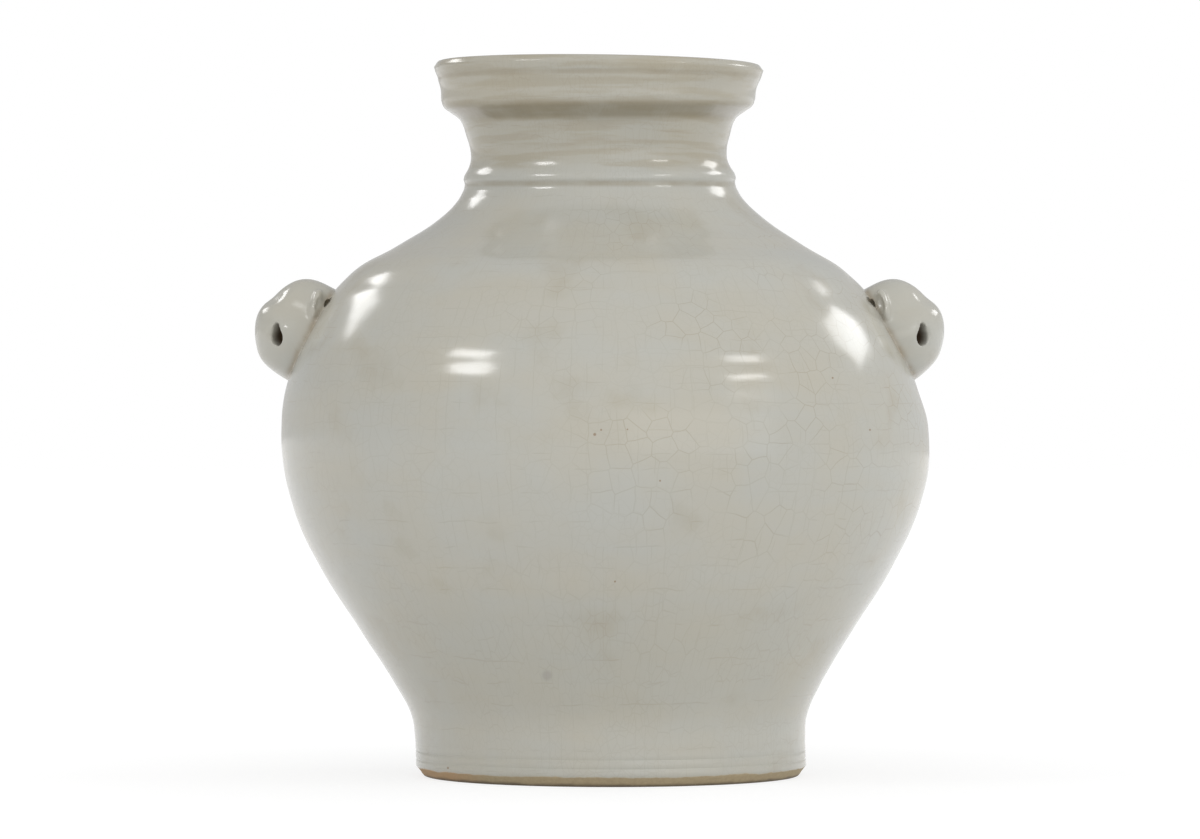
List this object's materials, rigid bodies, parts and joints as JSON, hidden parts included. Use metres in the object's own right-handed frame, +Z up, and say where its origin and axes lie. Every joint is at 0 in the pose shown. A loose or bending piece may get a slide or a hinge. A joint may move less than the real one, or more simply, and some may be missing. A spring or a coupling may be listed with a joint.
{
  "type": "ceramic pot",
  "caption": "Glazed ceramic pot with a swelling belly, ringed neck, collared mouth, low foot ring and moulded head lugs on the shoulder, for holding water, stems or dry goods.",
  "frame": {"origin": "on the ground, under the centre of the belly", "axes": "+Z up through the mouth, +X and -X towards the two head lugs, -Y towards the viewer"},
  "size_m": [0.3175, 0.2994, 0.33],
  "materials": {
    "crackle_glaze": "glossy grey-white glaze with a fine brown crackle"
  },
  "bodies": {
    "root": {"pot": "crackle_glaze"}
  },
  "joints": []
}
